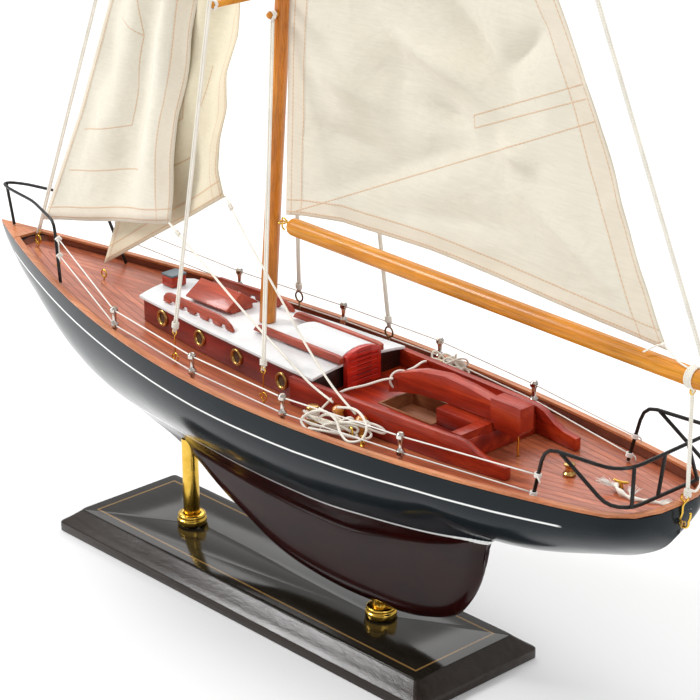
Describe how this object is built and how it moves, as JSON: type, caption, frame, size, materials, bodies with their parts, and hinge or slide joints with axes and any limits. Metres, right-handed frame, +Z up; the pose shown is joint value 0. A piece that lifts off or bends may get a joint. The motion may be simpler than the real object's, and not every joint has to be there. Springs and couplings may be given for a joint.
{
  "type": "model sailing yacht on stand",
  "caption": "Wooden display model of a classic sailing yacht with mainsail and two headsails, deckhouse, tiller and wire rails, standing on a plinth on brass posts.",
  "frame": {"origin": "on the table, under the middle of the model's overall box", "axes": "+Z up the model, -X towards the bow, +X towards the stern, -Y to port"},
  "size_m": [0.5715, 0.132, 0.779],
  "materials": {
    "spar_wood": "satin varnish over turned softwood",
    "mahogany": "red-brown stained and varnished",
    "deck_wood": "scored planking, satin",
    "rail_wood": "satin varnish",
    "liner_wood": "thinly stained",
    "hull_paint": "high gloss lacquer over wood",
    "white_paint": "semi-gloss paint over wood",
    "plinth_lacquer": "high gloss lacquer over wood",
    "black_wire": "black painted wire",
    "grey_paint": "satin paint",
    "brass": "polished",
    "nickel": "polished",
    "sailcloth": "natural cotton canvas",
    "cord": "twisted cotton"
  },
  "bodies": {
    "hull": {"aft_bar": "mahogany", "aft_shroud_port": "cord", "aft_shroud_starboard": "cord", "bollard": "brass", "bow_cap": "rail_wood", "cabin_roof": "white_paint", "cabin_trunk": "mahogany", "coaming_port": "mahogany", "coaming_starboard": "mahogany", "cockpit_sole": "mahogany", "companionway_door": "mahogany", "deck": "deck_wood", "fore_shroud_port": "cord", "fore_shroud_starboard": "cord", "forestay": "cord", "front_collar": "brass", "front_post": "brass", "gooseneck_eye": "brass", "grab_rail_port": "mahogany", "grab_rail_starboard": "mahogany", "hatch_rail_port": "mahogany", "hatch_rail_starboard": "mahogany", "helm_box": "mahogany", "hull": "hull_paint", "jib": "sailcloth", "lifeline_port": "cord", "lifeline_starboard": "cord", "mainsheet": "cord", "mast": "spar_wood", "mast_pin": "spar_wood", "pulpit": "black_wire", "pushpit": "black_wire", "rear_collar": "brass", "rear_post": "brass", "skylight": "mahogany", "sliding_hatch": "white_paint", "spreader": "spar_wood", "stanchion_port_1": "nickel", "stanchion_port_2": "nickel", "stanchion_port_3": "nickel", "stanchion_port_4": "nickel", "stanchion_starboard_1": "nickel", "stanchion_starboard_2": "nickel", "stanchion_starboard_3": "nickel", "stanchion_starboard_4": "nickel", "stand_base": "plinth_lacquer", "staysail": "sailcloth", "tiller_pin": "brass", "toe_rail_port": "rail_wood", "toe_rail_starboard": "rail_wood", "vent_box": "mahogany", "vent_lid": "grey_paint", "well_liner": "liner_wood", "winch_port": "brass", "winch_starboard": "brass"},
    "boom": {"boom": "spar_wood", "boom_hook": "brass", "mainsail": "sailcloth", "topping_lift": "cord"},
    "tiller": {"tiller": "mahogany"}
  },
  "joints": [
    {"name": "boom_swing", "type": "hinge", "parent": "hull", "child": "boom", "pos_m": [-0.017, 0, 0.2262], "axis": [0.0941, 0, 0.9956], "range_deg": [-5, 5]},
    {"name": "tiller_turn", "type": "hinge", "parent": "hull", "child": "tiller", "pos_m": [0.1624, 0, 0.15], "axis": [0, 0, 1], "range_deg": [-8, 8]}
  ]
}
